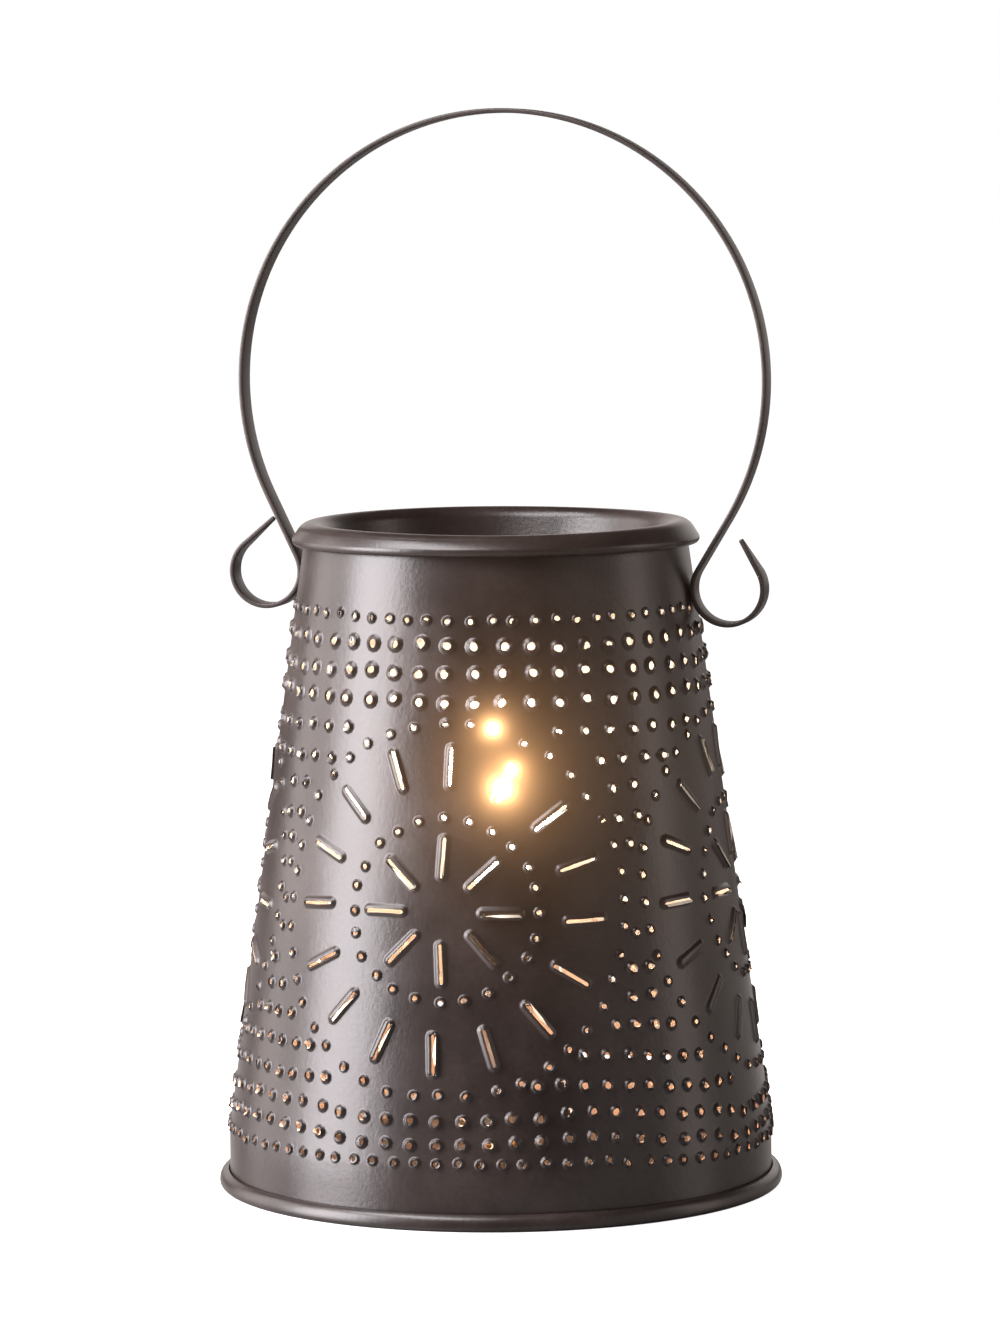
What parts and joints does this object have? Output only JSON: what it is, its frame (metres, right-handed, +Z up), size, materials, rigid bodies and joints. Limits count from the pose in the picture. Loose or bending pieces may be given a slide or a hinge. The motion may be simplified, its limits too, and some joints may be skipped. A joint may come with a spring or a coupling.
{
  "type": "punched tin lantern",
  "caption": "Tapered punched tin lantern with a lift-off warming dish on top, a tall strap handle with curled feet and a small lamp inside.",
  "frame": {"origin": "centre of the base's foot ring, on the surface that the lantern stands on", "axes": "+Z up along the lantern's axis; +X towards the handle's lower curled foot; one punched medallion faces each of -Y, +X, +Y and -X; the cord inlet is at +Y"},
  "size_m": [0.1588, 0.1588, 0.3012],
  "materials": {
    "dark_tin": "satin, dark brown, nearly black",
    "dark_strap": "satin, dark grey-brown",
    "black_rubber": "matte",
    "zinc_plated_steel": "satin",
    "brass": "satin",
    "black_phenolic": "gloss",
    "clear_glass": "clear",
    "nickelled_brass": "bright",
    "black_glass": "gloss",
    "solder": "bright",
    "tungsten": "glowing"
  },
  "bodies": {
    "lantern": {"punched_wall": "dark_tin", "base_pan": "dark_tin", "strap_handle": "dark_strap", "inlet_grommet": "black_rubber", "stem_tube": "zinc_plated_steel", "lower_washer": "zinc_plated_steel", "upper_washer": "zinc_plated_steel", "lower_lock_nut": "brass", "upper_lock_nut": "brass", "socket_cup": "zinc_plated_steel", "socket_body": "black_phenolic", "screw_shell": "brass", "centre_contact": "brass"},
    "dish": {"warming_dish": "dark_tin"},
    "bulb": {"bulb_glass": "clear_glass", "bulb_cap": "nickelled_brass", "cap_insulator": "black_glass", "cap_contact": "solder", "glass_stem": "clear_glass", "lead_wire_left": "zinc_plated_steel", "lead_wire_right": "zinc_plated_steel", "support_wire_left": "zinc_plated_steel", "support_wire_right": "zinc_plated_steel", "filament": "tungsten"}
  },
  "joints": [
    {"name": "dish_lift", "type": "slide", "parent": "lantern", "child": "dish", "axis": [0, 0, 1], "range_m": [0, 0.06]},
    {"name": "bulb_turn", "type": "hinge", "parent": "lantern", "child": "bulb", "pos_m": [0, 0, 0.061], "axis": [0, 0, 1], "range_deg": [0, 1080]}
  ]
}
